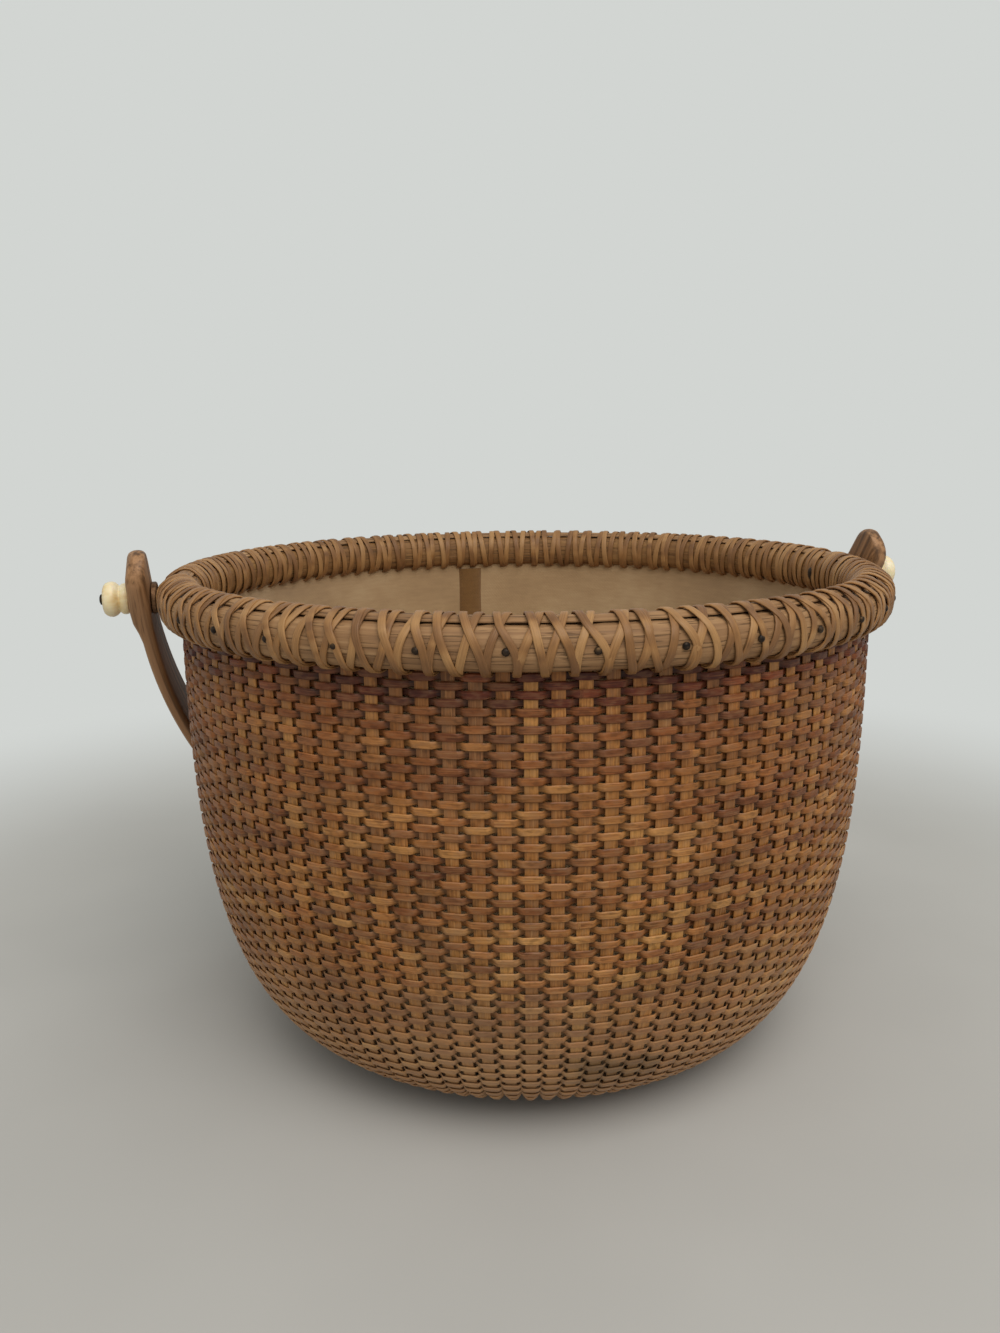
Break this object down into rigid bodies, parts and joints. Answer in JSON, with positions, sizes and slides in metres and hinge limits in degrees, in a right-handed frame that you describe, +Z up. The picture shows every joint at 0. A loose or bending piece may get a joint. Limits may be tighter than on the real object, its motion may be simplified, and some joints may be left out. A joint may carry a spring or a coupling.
{
  "type": "lightship basket",
  "caption": "Round open basket of woven cane on a turned wooden base, with a lashed two-hoop rim, a cloth lining and a wooden handle that swings over on side pins.",
  "frame": {"origin": "middle of the base's flat underside, on the surface that the basket stands on", "axes": "+Z up; +X along the handle's pivot axis, towards the right pivot; +Y towards the back, where the handle rests"},
  "size_m": [0.2938, 0.2559, 0.1769],
  "materials": {
    "base_wood": "turned hardwood with a dull oil finish",
    "woven_cane": "aged woven cane, satin, colour varying from strand to strand",
    "dark_cane": "dark brown aged cane",
    "hoop_wood": "pale weathered open-grained wood, dry",
    "lashing_cane": "flat split cane, satin",
    "lining_cloth": "plain khaki cloth",
    "seam_tape": "brown twill tape",
    "handle_wood": "bent hardwood with a dull varnish",
    "knob_bone": "turned cream bone, polished",
    "dark_metal": "brass darkened almost to black"
  },
  "bodies": {
    "basket": {"base_plate": "base_wood", "woven_wall": "woven_cane", "dark_top_rows": "dark_cane", "outer_hoop": "hoop_wood", "inner_hoop": "hoop_wood", "rim_cap": "hoop_wood", "lashing_back_right": "lashing_cane", "lashing_back_left": "lashing_cane", "lashing_front_left": "lashing_cane", "lashing_front_right": "lashing_cane", "lining_side": "lining_cloth", "lining_bottom": "lining_cloth", "lining_seam_tape": "seam_tape", "right_pivot_pin": "dark_metal", "right_washer": "dark_metal", "right_knob": "knob_bone", "left_pivot_pin": "dark_metal", "left_washer": "dark_metal", "left_knob": "knob_bone", "rim_nail_01": "dark_metal", "rim_nail_02": "dark_metal", "rim_nail_03": "dark_metal", "rim_nail_04": "dark_metal", "rim_nail_05": "dark_metal", "rim_nail_06": "dark_metal", "rim_nail_07": "dark_metal", "rim_nail_08": "dark_metal", "rim_nail_09": "dark_metal", "rim_nail_10": "dark_metal", "rim_nail_11": "dark_metal", "rim_nail_12": "dark_metal", "rim_nail_13": "dark_metal", "rim_nail_14": "dark_metal", "rim_nail_15": "dark_metal", "rim_nail_16": "dark_metal", "rim_nail_17": "dark_metal", "rim_nail_18": "dark_metal", "rim_nail_19": "dark_metal", "rim_nail_20": "dark_metal", "rim_nail_21": "dark_metal", "rim_nail_22": "dark_metal", "rim_nail_23": "dark_metal", "rim_nail_24": "dark_metal", "rim_nail_25": "dark_metal", "rim_nail_26": "dark_metal", "rim_nail_27": "dark_metal", "rim_nail_28": "dark_metal", "rim_nail_29": "dark_metal", "rim_nail_30": "dark_metal", "rim_nail_31": "dark_metal", "rim_nail_32": "dark_metal", "rim_nail_33": "dark_metal"},
    "handle": {"swing_handle": "handle_wood"}
  },
  "joints": [
    {"name": "handle_swing", "type": "hinge", "parent": "basket", "child": "handle", "pos_m": [0, 0, 0.16], "axis": [1, 0, 0], "range_deg": [0, 288]}
  ]
}
